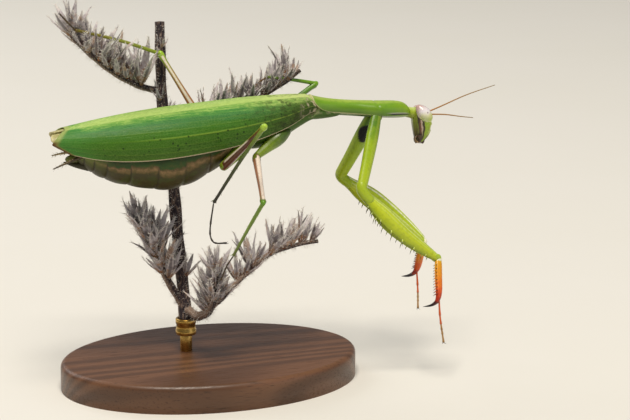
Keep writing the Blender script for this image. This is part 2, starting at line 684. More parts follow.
print("camera, floor and lights")
addCamera()
addLamps()
floorShape = bmesh.new()
bmesh.ops.create_grid(floorShape, x_segments=1, y_segments=1, size=studio["floorSize"] / 2)
floorMesh = bpy.data.meshes.new("floor")
floorShape.to_mesh(floorMesh)
floorShape.free()
floorMesh.materials.append(plainFloor())
floor = bpy.data.objects.new("floor", floorMesh)
scene.collection.objects.link(floor)


wings = {
    "rings": 220, "rows": 60,
    "archShare": 0.72, "shoulderShare": 0.6, "edgeInset": 0.25,  # the roof, as the solids have it
    "overlap": 0.16, "tuck": 0.2, "tuckFrom": {1: (-0.11, -0.16), -1: (-0.175, -0.12)},
    "thickness": 0.15, "hindThickness": 0.25, "rim": 0.06, "veinRelief": 0.04,
    "frontReach": 1.3, "frontTuck": 0.5,
    "tipLines": {1: [(0, 1.9), (0.16, 1.7), (0.35, 1.0), (0.52, 0.35), (0.68, 0.1), (0.78, 0.35),
                     (0.9, 1.15), (1, 2.4)],
                 -1: [(0, 1.9), (0.16, 1.4), (0.35, 0.5), (0.55, -0.25), (0.7, -0.75),
                      (0.77, -0.6), (0.88, 0.5), (1, 2.1)]},
    "hindGirth": (-0.06, 0.88), "hindInset": 0.4, "hindLap": 0.28,
    "hindTips": {1: [(0, -0.1), (0.2, -0.5), (0.4, -0.55), (0.55, -0.35), (0.7, 0.05),
                     (0.8, 0.5), (0.9, 1.6)],
                 -1: [(0, -0.2), (0.2, -0.75), (0.4, -1.0), (0.55, -0.95), (0.7, -0.4),
                      (0.8, 0.4), (0.9, 1.6)]},
}
wingLow, wingHigh = boxOf("tegmen_left")
roof = bodyLines(["tegmen_left"], wingLow.x + 2.6, wingHigh.x - 0.1, 12)
for line in roof.values():  # run each line on past the wing's slanting end
    (x0, v0), (x1, v1) = line[0], line[1]
    line.insert(0, (x0 - 4, v0 - 4 * (v1 - v0) / (x1 - x0)))


def roofPoint(x, s):  # s runs from -1 at the right costal edge over the back to 1 at the left one
    u = abs(s)
    top = readLine(roof["top"], x)
    height = top - readLine(roof["low"], x)
    shoulder = wings["shoulderShare"] * height
    bend = min(u / wings["archShare"], 1) * math.pi / 2
    below = max(0, u - wings["archShare"]) / (1 - wings["archShare"])
    wide = readLine(roof["wide"], x) * math.sin(bend) ** 0.9 - wings["edgeInset"] * below**2
    return Vector((x, math.copysign(wide, s), top - shoulder * (1 - math.cos(bend))
                   - below * (height - shoulder)))


def roofInwards(x, s, e=0.01):
    lengthwise = roofPoint(x + e, s) - roofPoint(x - e, s)
    girthwise = roofPoint(x, s + e) - roofPoint(x, s - e)
    return girthwise.cross(lengthwise).normalized()


def wingSheet(bm, s0, s1, rearAt, front, depthAt, relief=True):
    # one sheet of the roof; along runs from root to tip and down from costal edge to back
    made = bmesh.ops.create_grid(bm, x_segments=wings["rings"], y_segments=wings["rows"],
                                 size=0.5)
    along, down = marks(bm, "along", "down")
    for v in made["verts"]:
        t, across = 0.5 - v.co.x, v.co.y + 0.5
        s = mix(s0, s1, across)
        x = mix(front, rearAt(s), t)
        raised = 0
        if relief:
            raised = wings["rim"] * ease(across, 0.03, 0.012)
            fan = across + (veinLines["fanFrom"] - t) * veinLines["fan"]
            raised += wings["veinRelief"] * sum(hump(fan, place, veinLines["raisedWidth"])
                                                for place in veinLines["raised"])
        v[along], v[down] = t, across
        under = wings["frontTuck"] * ease(x, wingHigh.x - 0.3, wingHigh.x + wings["frontReach"])
        v.co = roofPoint(x, s) + roofInwards(x, s) * (depthAt(s) + under - raised)


def addWings():
    paint = wingCaseGreen()
    front = wingHigh.x + wings["frontReach"]
    for side, name in ((1, "tegmen_left"), (-1, "tegmen_right")):
        bm = newShape()
        # the left case lies on the right one, its inner edge pressed down into a soft crease
        tuck = lambda s: wings["tuck"] * ease(s, *wings["tuckFrom"][side])
        tip = lambda s: wingLow.x + readLine(wings["tipLines"][side], abs(s))
        wingSheet(bm, side, -side * wings["overlap"], tip, front, tuck)
        bmesh.ops.recalc_face_normals(bm, faces=bm.faces)
        bmesh.ops.solidify(bm, geom=bm.faces[:], thickness=wings["thickness"])
        pieceName = "wingCaseLeft" if side > 0 else "wingCaseRight"
        finishPiece(bm, pieceName, [paint], [name])
    amber = hindWingAmber()
    hindFront = boxOf("hindwing_left")[1].x
    for side, name in ((1, "hindwing_left"), (-1, "hindwing_right")):
        bm = newShape()
        high, low = (side * share for share in wings["hindGirth"])
        rear = lambda s: wingLow.x + 0.1 + readLine(wings["hindTips"][side], abs(s))
        # the right one's inner edge runs under the left one's
        lap = 0 if side > 0 else wings["hindLap"]
        depth = lambda s: wings["hindInset"] + lap * ease(s, -0.14, -0.05)
        wingSheet(bm, low, high, rear, hindFront, depth, relief=False)
        bmesh.ops.recalc_face_normals(bm, faces=bm.faces)
        bmesh.ops.solidify(bm, geom=bm.faces[:], thickness=wings["hindThickness"])
        pieceName = "hindWingLeft" if side > 0 else "hindWingRight"
        finishPiece(bm, pieceName, [amber], [name])


print("wings")
addWings()


body = {
    "rings": 300, "sides": 72,
    "sutures": (-22.6, -21, -18.9, -14.9, -10.1, -5.3, -0.6, 3.6, 7.4),
    "groove": 0.13, "bulge": 0.16, "fold": 0.1, "widthUnderWings": 0.93, "boxiness": 0.92,
    "tail": {"ahead": 0.9, "rise": -0.2, "half": (1.9, 0.8, 0.85)},  # the plate under the tip
    "valve": {"root": (3.0, 0.42, 0.85), "tip": (-1.4, 0.1, -0.65), "thick": 0.92},  # x, y, z
    "underShield": {"top": [(20, 49.9), (22, 49.4), (24, 49), (25.5, 48.6)],
                    "low": [(20, 46.75), (22, 46.85), (24, 47.1), (25.5, 47.6)],
                    "wide": [(20, 1.9), (22, 1.62), (24, 1.4), (25.5, 1.1)]},
}


def addBody():
    rear, front = boxOf("abdomen")[0].x, body["underShield"]["top"][-1][0]
    frontLow, frontHigh = boxOf("pterothorax")
    behind = bodyLines(["abdomen"], rear + 0.3, frontLow.x - 0.6, 13)
    ahead = bodyLines(["pterothorax"], frontLow.x + 0.5, frontHigh.x - 0.3, 8)
    lines = {key: behind[key] + ahead[key] + body["underShield"][key] for key in behind}
    bm = newShape()
    def place(step, turn):
        t = crowd(step, 0.55)
        x = mix(rear, front, t)
        top, low, wide = (readLine(lines[key], x) for key in ("top", "low", "wide"))
        dome = roundOff(t, 0.03)
        a = 2 * math.pi * turn
        down = fromTop(turn)
        nearest = min((x - s for s in body["sutures"]), key=abs)
        groove = hump(nearest, 0, 0.14) * ease(down, 0.5, 0.56)
        between = min(abs(nearest) / 2.3, 1) * ease(down, 0.3, 0.6) * ease(x, 12, 8)
        swell = body["bulge"] * math.sin(math.pi / 2 * between) - body["groove"] * groove
        swell -= body["fold"] * hump(down, 0.605, 0.02) * ease(x, 8, 5)
        grow = 1 + swell / max(1.5, wide)
        sideways = wide * (mix(body["widthUnderWings"], 1, ease(down, 0.42, 0.52)))
        y, z = (power(v, body["boxiness"]) for v in (math.sin(a), math.cos(a)))
        return Vector((x, -sideways * dome * grow * y,
                       (top + low) / 2 + dome * grow * z * (top - low) / 2))
    made = loft(bm, place, body["rings"], body["sides"])
    along, down, side, tint = marks(bm, *markNames)
    for v in made:
        x = v.co.x
        nearest = min(abs(x - s) for s in body["sutures"])
        v[along] = (x - rear) / (front - rear)
        v[tint] = hump(nearest, 0, 0.13) * ease(v[down], 0.53, 0.58) * ease(x, 11, 9)
        v[side] = 1 - 2 * (sum(x > s for s in body["sutures"]) % 2)
    # ovipositor valves, in the boat-shaped plate under the tip
    for way in (-1, 1):
        foot, tip = (Vector((rear + x, way * y, readLine(lines["low"], rear + x) + z))
                     for x, y, z in (body["valve"]["root"], body["valve"]["tip"]))
        valve = thorn(bm, foot, tip, body["valve"]["thick"], Vector((0, 0, -0.1)), 14, 18)
        setMarks(bm, valve, along=0.02, down=0.9)
    tail = body["tail"]
    centre = Vector((rear + tail["ahead"], 0, readLine(lines["low"], rear) + tail["rise"]))
    for v in blob(bm, centre, tail["half"], sides=28):
        v[along] = 0.02
        v[down] = mix(0.56, 0.9, ease(v.co.z, 42.6, 41.4))
    finishPiece(bm, "body", [bodyGreen()], ["abdomen", "pterothorax"])


print("body")
addBody()


shield = {"rings": 170, "sides": 96, "keel": 0.08, "rim": 0.13, "rimAt": 0.66, "sulcus": 0.64,
          "sulcusDepth": 0.12, "cutAway": 4.0, "flare": 0.45, "boxiness": 0.85,
          "teeth": 22, "toothLength": 0.13, "toothWidth": 0.06, "teethFrom": 8.5}


def addPronotum():
    low, high = boxOf("pronotum")
    rear, front = low.x, high.x
    lines = bodyLines(["pronotum"], rear + 0.05, front - 0.05, 14)
    bm = newShape()
    def rearAt(down):  # the lower rear corner is cut away in a curve
        return rear + shield["cutAway"] * min(1, max(0, (down - 0.2) / 0.46)) ** 3.2
    def place(step, turn):
        t = crowd(step, 0.75)
        down = fromTop(turn)
        x = mix(rearAt(down), front, t)
        top, under, wide = (readLine(lines[key], x) for key in ("top", "low", "wide"))
        a = 2 * math.pi * turn
        dome = roundOff(t, 0.016 if t < 0.5 else 0.05)
        middle = (top + under) / 2
        wide += shield["flare"] * ease(x, 24, 19)
        y = -wide * power(math.sin(a), shield["boxiness"])
        z = middle + power(math.cos(a), shield["boxiness"]) * (top - under) / 2
        z += shield["keel"] * hump(down, 0, 0.05)
        furrow = hump(t, shield["sulcus"] + 0.02 * down, 0.01) * ease(down, 0.62, 0.4)
        z -= shield["sulcusDepth"] * furrow
        y *= 1 + shield["rim"] / wide * hump(down, shield["rimAt"], 0.03)
        y *= 1 - 0.25 * ease(down, shield["rimAt"] + 0.02, 0.8)
        rearRim = hump(t, 0.012, 0.01) * ease(down, 0.8, 0.6) * 0.05
        return Vector((x, y * dome * (1 + rearRim), mix(middle, z, dome * (1 + rearRim))))
    made = loft(bm, place, shield["rings"], shield["sides"])
    along, down, tint = marks(bm, "along", "down", "tint")
    for v in made:
        fromRear = v.co.x - rearAt(v[down])
        v[along] = (v.co.x - rear) / (front - rear)
        sideRim = hump(v[down], shield["rimAt"], 0.02) * ease(v.co.x, 33, 26) * 0.7
        v[tint] = max(sideRim, hump(fromRear, 0.15, 0.2) * ease(v[down], 0.8, 0.66) * 0.85)
    for side in (-1, 1):  # fine teeth along the front half of the rim
        for i in range(shield["teeth"]):
            x = mix(front - shield["teethFrom"], front - 0.8, i / (shield["teeth"] - 1))
            girth = math.sin(math.pi * shield["rimAt"]) ** shield["boxiness"]
            wide = readLine(lines["wide"], x) * girth + shield["rim"] * 0.8
            z = mix(readLine(lines["low"], x), readLine(lines["top"], x), 0.24)
            foot = Vector((x, side * (wide - 0.06), z))
            tip = foot + Vector((0.03, side * shield["toothLength"], -0.03))
            thorn(bm, foot, tip, shield["toothWidth"], rings=3, sides=6)
    finishPiece(bm, "pronotumShell", [shellGreen()], ["pronotum"])


def addNeck():
    low, high = boxOf("neck")
    start = Vector((35.6, 0, 47.3))
    end = Vector((high.x + 0.5, 0, (low.z + high.z) / 2 - 0.35))
    folds = lambda t: 1 + 0.04 * math.sin(t * 34) * ease(t, 0.4, 0.6)
    bm = newShape()
    size = lambda t: (mix(1.15, 0.95, t) * folds(t), mix(0.85, 1.15, t) * folds(t))
    tube(bm, Route([start, start.lerp(end, 0.5) + Vector((0, 0, 0.1)), end]), size, 50, 40)
    finishPiece(bm, "neckSkin", [neckCream()], ["neck"])


print("pronotum and neck")
addPronotum()
addNeck()


head = {  # half sizes from the head's own centre, z up the face from -1 to 1, x ahead
    "rings": 130, "sides": 112, "halfHeight": 3.6, "lean": 0.2, "boxiness": 0.9,
    "wide": [(-1, 0.5), (-0.9, 0.72), (-0.7, 0.95), (-0.45, 1.2), (-0.15, 1.65), (0.15, 2.15),
             (0.45, 2.4), (0.75, 2.2), (0.92, 1.8), (1, 1.5)],
    "face": [(-1, 0.6), (-0.85, 1.1), (-0.6, 1.7), (-0.3, 2.0), (0, 2.05), (0.3, 1.95),
             (0.6, 1.7), (0.85, 1.2), (1, 0.6)],
    "nape": [(-1, -0.5), (-0.8, -0.8), (-0.5, -1.15), (-0.1, -1.5), (0.3, -1.65), (0.65, -1.5),
             (0.9, -1.1), (1, -0.6)],
}
eye = {"radii": (1.2, 1.2, 1.95), "lean": -0.8, "splay": 0.14, "forward": 0.2, "drop": -0.02,
       "spot": (0.5, 0.86, 0.1)}


def headFrame():  # the head's own axes, from its eyes and mouth
    centre = {name: sum(boxOf(name), Vector()) / 2
              for name in ("eye_left", "eye_right", "mouthparts")}
    left = (centre["eye_left"] - centre["eye_right"]).normalized()
    eyes = (centre["eye_left"] + centre["eye_right"]) / 2
    up = eyes - centre["mouthparts"]
    up = (up - left * up.dot(left)).normalized()
    turn = Matrix((left.cross(up), left, up)).transposed().to_4x4()
    return Matrix.Translation(eyes) @ turn @ Matrix.Translation((-0.4, 0, -1.7))


def faceRidges(y, z):
    # raised lines of the face: above the mouth plate, above the lip, and its sides
    return (hump(z, -0.07 * y * y, 0.035) * ease(abs(y), 1.3, 0.9)
            + 0.8 * hump(z, -0.38, 0.03)
            + 0.8 * hump(abs(y), 0.95 + 0.3 * z, 0.11) * ease(z, -0.7, -0.5) * ease(z, 0.4, 0.1)
            + 0.5 * hump(abs(y), 0.34, 0.07) * ease(z, 0.35, 0.5))


def addHead():
    own = headFrame()
    back = own.inverted()
    bm = newShape()
    def place(step, turn):
        t = crowd(step, 0.75)
        z = 1 - 2 * t
        dome = roundOff(t, 0.05)
        wide, face, nape = (readLine(head[key], z) for key in ("wide", "face", "nape"))
        a = 2 * math.pi * turn  # from the face round by the right side to the nape
        middle = (face + nape) / 2
        y = -wide * power(math.sin(a), head["boxiness"])
        x = middle + (face - middle) * power(math.cos(a), head["boxiness"])
        front = ease(math.cos(a), 0.2, 0.7)
        # the sunken mouth plate, the brow groove and the ridges
        relief = 0.1 * faceRidges(y, z) - 0.14 * hump(z, -0.2, 0.12) * hump(y, 0, 0.7)
        relief -= 0.12 * hump(y, 0, 0.12) * ease(z, 0.4, 0.6)
        x += relief * front
        # grooved nape
        x += 0.06 * math.sin(a * 9) * ease(-math.cos(a), 0.3, 0.6) * ease(z, 0.4, 0.1)
        crown = 0.3 * hump(y, 0, 1.3) * ease(z, 0.7, 1) + 0.35 * ease(z, 0.5, 1)
        return own @ Vector((head["lean"] * (1 - z * z) + mix(middle, x, dome), y * dome,
                             z * head["halfHeight"] - crown))
    made = loft(bm, place, head["rings"], head["sides"])
    along, down, tint = marks(bm, "along", "down", "tint")
    for v in made:
        local = back @ v.co
        z = local.z / head["halfHeight"]
        v[along] = (1 - z) / 2
        v[tint] = min(1, ease(v[down], 0.36, 0.26) * faceRidges(local.y, z))
    for y, z in ((0, 1.5), (-0.42, 1.95), (0.42, 1.95)):  # three simple eyes
        blob(bm, own @ Vector((2.0 - 0.2 * (z > 1.6), y, z)), (0.18, 0.18, 0.18), sides=12,
             tint=0.9)
    for side in (-1, 1):  # sockets of the feelers
        blob(bm, own @ Vector((2.1, side * 0.55, 0.75)), (0.22, 0.26, 0.26), sides=14)
    finishPiece(bm, "headShell", [headGreen()], ["head"])
    addEyes(own)
    addMouth(own)


def addEyes(own):
    paint = eyeShell()
    back = own.inverted()
    for side, name, node in ((1, "eyeLeft", "eye_left"), (-1, "eyeRight", "eye_right")):
        nudge = own.to_3x3() @ Vector((eye["forward"], 0, -eye["drop"]))
        centre = sum(boxOf(node), Vector()) / 2 + nudge
        lean = Matrix.Rotation(eye["lean"], 4, "Y")
        turn = own.to_3x3().to_4x4() @ (lean @ Matrix.Rotation(-side * eye["splay"], 4, "X"))
        bm = newShape()
        made = bmesh.ops.create_uvsphere(bm, u_segments=72, v_segments=48, radius=1)["verts"]
        for v in made:  # narrower towards its upper rear end
            taper = 1 - 0.16 * ease(v.co.z, 0, 1)
            v.co = Vector((v.co.x * taper, v.co.y * taper, v.co.z))
            v.co = Vector(a * b for a, b in zip(v.co, eye["radii"]))
        bmesh.ops.transform(bm, matrix=Matrix.Translation(centre) @ turn, verts=bm.verts)
        along, down, across = marks(bm, "along", "down", "side")
        spot = Vector((eye["spot"][0], side * eye["spot"][1], eye["spot"][2]))
        for v in made:
            local = back @ v.co - back @ centre
            v[along] = 0.5 - 0.5 * (local.z - 0.25 * local.x) / 1.7
            v[down] = (local.normalized() - spot.normalized()).length
            v[across] = local.x / 1.7
        finishPiece(bm, name, [paint], [node])


palps = (  # joints and thickness of each pair, bent under the mouth
    ([(-0.35, 0.75, -2.3), (-0.7, 0.9, -2.9), (-0.4, 0.7, -3.35), (0.1, 0.45, -3.6)], 0.14),
    ([(-0.55, 0.35, -2.6), (-0.7, 0.4, -3.2), (-0.35, 0.32, -3.7)], 0.13),
)


def addMouth(own):
    bm = newShape()
    turned = own.to_3x3().to_4x4()
    blob(bm, own @ Vector((0.75, 0, -3.05)), (0.4, 0.5, 0.7), turned, 20, 0.0)  # upper lip
    blob(bm, own @ Vector((-0.4, 0, -2.9)), (0.5, 0.55, 0.75), turned, 20, 0.15)  # lower lip
    for side in (-1, 1):
        # jaw
        thorn(bm, own @ Vector((0.05, side * 0.85, -2.1)),
              own @ Vector((0.35, side * 0.2, -3.75)), 0.5,
              own.to_3x3() @ Vector((0, side * 0.22, 0)), 16, 18)
        for joints, thick in palps:
            points = [own @ Vector((x, side * y, z)) for x, y, z in joints]
            size = lambda t: (thick * (0.8 + 0.3 * t) * roundOff(t, 0.15),) * 2
            for i, (a, b) in enumerate(zip(points, points[1:])):
                tube(bm, Route([a, (a + b) / 2, b]), size, 14, 12, (1, 0.2, 0.1),
                     tint=0.25 + 0.25 * i)
    finishPiece(bm, "mouthJointed", [mouthBrown()], ["mouthparts"])


feelers = {  # the same routes as the solids', thinning to their tips
    "joints": 42, "thick": (0.135, 0.06),
    "routes": {
        "antenna_right": [(41.4, -0.9, 46.4), (43.7, -2.9, 46.6), (45.6, -5.8, 46.7),
                          (46.8, -8.8, 47)],
        "antenna_left": [(41.4, 0.1, 46.6), (44.4, 0.8, 47.4), (49.5, 1.5, 49), (55.3, 2, 50.4)],
    },
}


def addFeelers():
    paint = feelerOrange()
    for node, points in feelers["routes"].items():
        bm = newShape()
        ripple = lambda t: 1 + 0.09 * math.cos(t * feelers["joints"] * 2 * math.pi)
        size = lambda t: (mix(*feelers["thick"], t) * ripple(t)
                          * (1.5 if t < 0.05 else 1) * roundOff(t, 0.01),) * 2
        tube(bm, Route(points), size, 340, 14)
        finishPiece(bm, node.replace("antenna", "feeler"), [paint], [node])


print("head, eyes, mouth and feelers")
addHead()
addFeelers()


legs = {  # joints from the body outwards, the same as the solids'
    "fore_right": {
        "root": (30.8, -1.7, 46.4), "trochanter": (26, -7.9, 35), "knee": (40.4, -9, 21.5),
        "ankle": (39.2, -12.7, 15.5), "toes": [(39.3, -13.2, 11.8), (39.8, -13.8, 7.2)],
        "claw": (36.4, -12, 13.7), "sag": 1.05, "spinesFrom": 0.14,
    },
    "fore_left": {
        "root": (31, 1.7, 45.7), "trochanter": (27.1, 7.5, 34.1), "knee": (41.5, 1.5, 22.1),
        "ankle": (41.4, 4.8, 15.8), "toes": [(41.2, 3.6, 12.6), (40.7, 2, 9.2)],
        "claw": (38.2, 4.4, 14.9), "sag": -0.3, "edge": (-0.6, 0.35, -0.72), "stout": 1.18,
        "spinesFrom": 0.34,
    },
    "mid_right": {
        "root": (13.5, -2.4, 45.1), "trochanter": (7.7, -4.3, 41.6), "knee": (5.3, -16.5, 36.3),
        "ankle": (1.3, -11.5, 25.9), "toes": [(0.4, -10.1, 23.6), (-0.2, -8.9, 21)],
    },
    "mid_left": {
        "root": (13.8, 2.4, 44.7), "trochanter": (12.1, 6.5, 45), "knee": (23.6, 10.5, 51),
        "ankle": (13.4, 7.4, 53.4), "toes": [(11.9, 8.2, 52.2), (10.9, 9, 50.4)],
    },
    "hind_right": {
        "root": (6.5, -2.4, 43.7), "trochanter": (1.6, -4.6, 40.3), "knee": (5.1, -18.1, 50),
        "ankle": (-1.4, -8.8, 35),
        "toes": [(-1.9, -8.1, 29.5), (-1.6, -9.5, 28.1), (0.3, -11, 28.2)],
    },
    "hind_left": {
        "root": (6.7, 2.4, 42.7), "trochanter": (2.8, 7.3, 43.2), "knee": (-5.5, 10.8, 58.1),
        "ankle": (-22.2, 4.9, 64.3), "toes": [(-23.8, 4.7, 66), (-24.8, 5.2, 67.2)],
    },
}
limbs = {
    "coxaLines": {  # half sizes across and deep, from the body to the trochanter
        "fore": ([(0, 0.75), (0.1, 0.95), (0.35, 1.05), (0.7, 0.98), (0.9, 0.92), (1, 0.85)],
                 [(0, 0.8), (0.1, 1.05), (0.35, 1.22), (0.7, 1.05), (0.9, 0.96), (1, 0.88)]),
        "mid": ([(0, 0.3), (0.12, 0.9), (0.35, 1.3), (0.7, 0.95), (1, 0.6)],
                [(0, 0.4), (0.12, 1.1), (0.38, 1.75), (0.7, 1.15), (1, 0.64)]),
        "hind": ([(0, 0.3), (0.12, 0.8), (0.35, 1.1), (0.7, 0.9), (1, 0.75)],
                 [(0, 0.4), (0.12, 0.9), (0.38, 1.35), (0.7, 1.05), (1, 0.78)]),
    },
    "coxaBow": {"fore": 0.25, "mid": 0.1, "hind": 0.1},
    "rootReach": {"fore": 1.2, "mid": 1.6, "hind": 1.2},
    "spot": {"along": 2.5, "half": (1.95, 1.15)},
    "hookLine": [(0, 0.45), (0.06, 0.68), (0.3, 0.72), (0.5, 0.68), (0.62, 0.6), (0.72, 0.44),
                 (0.82, 0.28), (0.92, 0.15), (1, 0.015)],
    "femurDepth": [(0, 0.8), (0.06, 0.95), (0.14, 1.15), (0.25, 1.65), (0.38, 1.9), (0.55, 1.75),
                   (0.75, 1.4), (0.9, 1.0), (0.96, 0.8), (1, 0.6)],
    "slimFemur": {"mid": (0.75, 0.5), "hind": (0.85, 0.5)},
    "kneeBulb": {"mid": 0.52, "hind": 0.63},
    "slimTibia": (0.35, 0.25), "tibiaBow": {"mid": 0.1, "hind": 0.35}, "hairs": 16,
    "toe": 0.17, "armToe": 0.2, "toeJoints": (0, 0.42, 0.6, 0.72, 0.82, 1), "toeLap": 0.035,
}
spines = {  # counts, and lengths in order along the part
    "coxaTeeth": 11, "outer": (1.05, 1.25, 1.2, 1.0, 0.6), "inner": 13, "innerLengths": (0.6, 1.05),
    "middle": (0.9, 1.25, 1.3, 0.8), "shinRows": ((1, 9), (-1, 12)),
}


def foldWay(leg):  # from the femur towards the side that the tibia folds to
    femur = (Vector(leg["knee"]) - Vector(leg["trochanter"])).normalized()
    tibia = (Vector(leg["ankle"]) - Vector(leg["knee"])).normalized()
    return (tibia - femur * tibia.dot(femur)).normalized()


def edgeWay(leg):  # from the femur's middle to its spined edge
    if "edge" not in leg:
        return foldWay(leg)
    femur = (Vector(leg["knee"]) - Vector(leg["trochanter"])).normalized()
    edge = Vector(leg["edge"])
    return (edge - femur * edge.dot(femur)).normalized()


def elbow(bm, before, joint, after, thick, thin):  # a bent joint between two parts of a leg
    route = Route([before, before.lerp(joint, 0.6), joint.lerp((before + after) / 2, 0.22),
                   joint.lerp(after, 0.4), after])
    swell = lambda t: 1 + 0.05 * math.sin(math.pi * t)
    size = lambda t: (mix(thick, thin, t) * swell(t) * roundOff(t, 0.17),) * 2
    made = tube(bm, route, size, 44, 36, (joint - before).cross(after - joint))
    setMarks(bm, made, along=0.03, down=0.55)


def addCoxa(bm, leg, kind, side):
    root, trochanter = Vector(leg["root"]), Vector(leg["trochanter"])
    heading = (trochanter - root).normalized()
    lines = limbs["coxaLines"][kind]
    stout = leg.get("stout", 1)
    bow = foldWay(leg) * limbs["coxaBow"][kind] * stout ** 5  # a stout coxa is bowed more
    def section(t, a):  # three soft ridges
        ridge = 1 + 0.05 * math.cos(3 * a) + 0.02 * math.cos(5 * a)
        return math.sin(a) * ridge, math.cos(a) * ridge
    line = Route([root - heading * limbs["rootReach"][kind], root.lerp(trochanter, 0.33) - bow,
                  root.lerp(trochanter, 0.7) - bow, trochanter])
    size = lambda t: tuple(readLine(lines[k], t) * stout * roundOff(t, 0.05) for k in (0, 1))
    made = tube(bm, line, size, 80, 44, foldWay(leg), section)
    if kind != "fore":
        return
    # the soft skin that joins it to the body
    skin = blob(bm, root + heading * 0.1 + Vector((0.3, -side * 0.25, 0.3)), (1.1, 0.85, 0.85),
                sides=24)
    setMarks(bm, skin, along=0.03, down=0.2)
    tint, = marks(bm, "tint")
    inner = Vector((0, -side, 0))
    inner = (inner - heading * inner.dot(heading)).normalized()
    spot = root + heading * limbs["spot"]["along"] + inner
    length, width = limbs["spot"]["half"]
    for v in made:  # the dark spot on the inner side
        d = v.co - spot
        lengthwise = d.dot(heading)
        crosswise = (d - heading * lengthwise - inner * d.dot(inner)).length
        if d.dot(inner) > -1:
            v[tint] = ease((lengthwise / length) ** 2 + (crosswise / width) ** 2, 1.15, 0.85)
    edge = -foldWay(leg)
    for i in range(spines["coxaTeeth"]):  # down its front edge
        t = mix(0.2, 0.92, i / (spines["coxaTeeth"] - 1))
        foot = line.at(t) + edge * readLine(lines[1], t) * 0.95
        thorn(bm, foot, foot + edge * 0.26 + heading * 0.08, 0.08, rings=4, sides=7)


def addGraspingLeg(name):
    leg = legs[name]
    side = 1 if name.endswith("left") else -1
    root, trochanter, knee, ankle = (Vector(leg[key])
                                     for key in ("root", "trochanter", "knee", "ankle"))
    edge, heading = edgeWay(leg), (knee - trochanter).normalized()
    across = heading.cross(edge)
    bm = newShape()
    addCoxa(bm, leg, "fore", side)
    finishPiece(bm, name + "_coxaSkin", [coxaPaint], [name + "_coxa"])
    addRaptorialFemur(name, leg, side, trochanter, knee, root, edge, heading, across)
    addHookedTibia(name, leg, side, knee, ankle, heading, across)
    bm = newShape()
    addFoot(bm, [ankle, *leg["toes"]], limbs["armToe"])
    finishPiece(bm, name + "_tarsusSkin", [armToePaint], [name + "_tarsus"])


def addRaptorialFemur(name, leg, side, trochanter, knee, root, edge, heading, across):
    # keeled above, grooved between two rows of spines below
    bm = newShape()
    down, along, tint = marks(bm, "down", "along", "tint")
    line = Route([trochanter.lerp(knee, t) + edge * (leg["sag"] * math.sin(math.pi * t))
                  for t in (0, 0.25, 0.5, 0.75, 1)])
    depth = lambda t: readLine(limbs["femurDepth"], t)
    def section(t, a):
        groove = 0.16 * hump(math.pi - abs(math.pi - a), 0, 0.22) * ease(t, 0.2, 0.35)
        turned = min(a, 2 * math.pi - a)
        keel = 0.07 * (hump(turned, math.pi, 0.16) + hump(turned, 1.9, 0.1)
                       + 0.7 * hump(turned, 1.2, 0.1))
        deep = math.cos(a) * (1 + keel) - groove * math.copysign(1, math.cos(a))
        return math.sin(a) * (1 + keel), deep
    size = lambda t: (depth(t) * 0.62 * roundOff(t, 0.03), depth(t) * roundOff(t, 0.03))
    tube(bm, line, size, 130, 64, edge, section)
    for v in bm.verts:  # measured from the back of the femur down to its spined edge
        v[down] = 1 - v[down]
    elbow(bm, trochanter.lerp(root, 0.13), trochanter, line.at(0.16), 0.98, 0.92)
    for lobe in (-1, 1):  # knee lobes
        blob(bm, knee + across * lobe * 0.42 - heading * 0.45 + edge * 0.12, (0.26, 0.6, 0.74),
             turnTo(heading), 18)
    share = lambda i, count: i / (count - 1)
    start = leg["spinesFrom"]
    rows = []  # place along the femur, row, length and radius of each spine
    for i, length in enumerate(spines["outer"]):
        rows.append((mix(0.3, 0.86, share(i, len(spines["outer"]))), 1, length, 0.15))
    for i in range(spines["inner"]):  # short and long in turn
        done = share(i, spines["inner"])
        length = spines["innerLengths"][i % 2] * mix(1, 0.75, done)
        rows.append((mix(start + 0.06, 0.9, done), -1, length, 0.1))
    for i, length in enumerate(spines["middle"]):  # between the rows, near the root
        rows.append((mix(start, start + 0.18, share(i, len(spines["middle"]))), 0, length, 0.14))
    for t, row, length, radius in rows:
        foot = line.at(t) + edge * depth(t) * 0.86 + across * side * row * depth(t) * 0.3
        tip = foot + edge * (length + 0.1) + across * side * row * 0.25 + heading * length * 0.32
        for v in thorn(bm, foot, tip, radius, -heading * length * 0.08):
            v[tint] = ease(v[along], 0.22, 0.5) * 0.95
            v[along] = t
    finishPiece(bm, name + "_femurSkin", [armPaint], [name + "_femur"])


def addHookedTibia(name, leg, side, knee, ankle, heading, across):
    # the tibia runs on into its long hooked claw
    bm = newShape()
    along, tint = marks(bm, "along", "tint")
    fold = foldWay(leg)
    way = (ankle - knee).normalized()
    inner = (way * heading.dot(way) - heading).normalized()
    claw = Vector(leg["claw"]) - ankle
    line = Route([knee - way * 0.1, knee.lerp(ankle, 0.5), knee.lerp(ankle, 0.9),
                  ankle + way * 0.55 + claw * 0.12, ankle + way * 0.7 + claw * 0.45,
                  Vector(leg["claw"])])
    thick = lambda t: readLine(limbs["hookLine"], t)
    size = lambda t: (thick(t) * mix(0.78, 1, ease(t, 0.5, 0.8)), thick(t))
    for v in tube(bm, line, size, 110, 36, fold):
        v[tint] = ease(v[along], 0.62, 0.74)
    setMarks(bm, blob(bm, knee + way * 0.12, (0.66, 0.66, 0.66), sides=20), along=0)
    for row, count in spines["shinRows"]:
        for i in range(count):
            t = mix(0.12, 0.62, i / (count - 1))
            foot = line.at(t) + inner * thick(t) * 0.85 + across * side * row * 0.32
            length = mix(0.35, 0.68, i / count)
            tip = foot + inner * length * 0.8 + way * length * 0.7 + across * side * row * 0.1
            for v in thorn(bm, foot, tip, 0.1):
                v[tint] = ease(v[along], 0.15, 0.45)
                v[along] = t
    finishPiece(bm, name + "_tibiaSkin", [shinPaint], [name + "_tibia"])


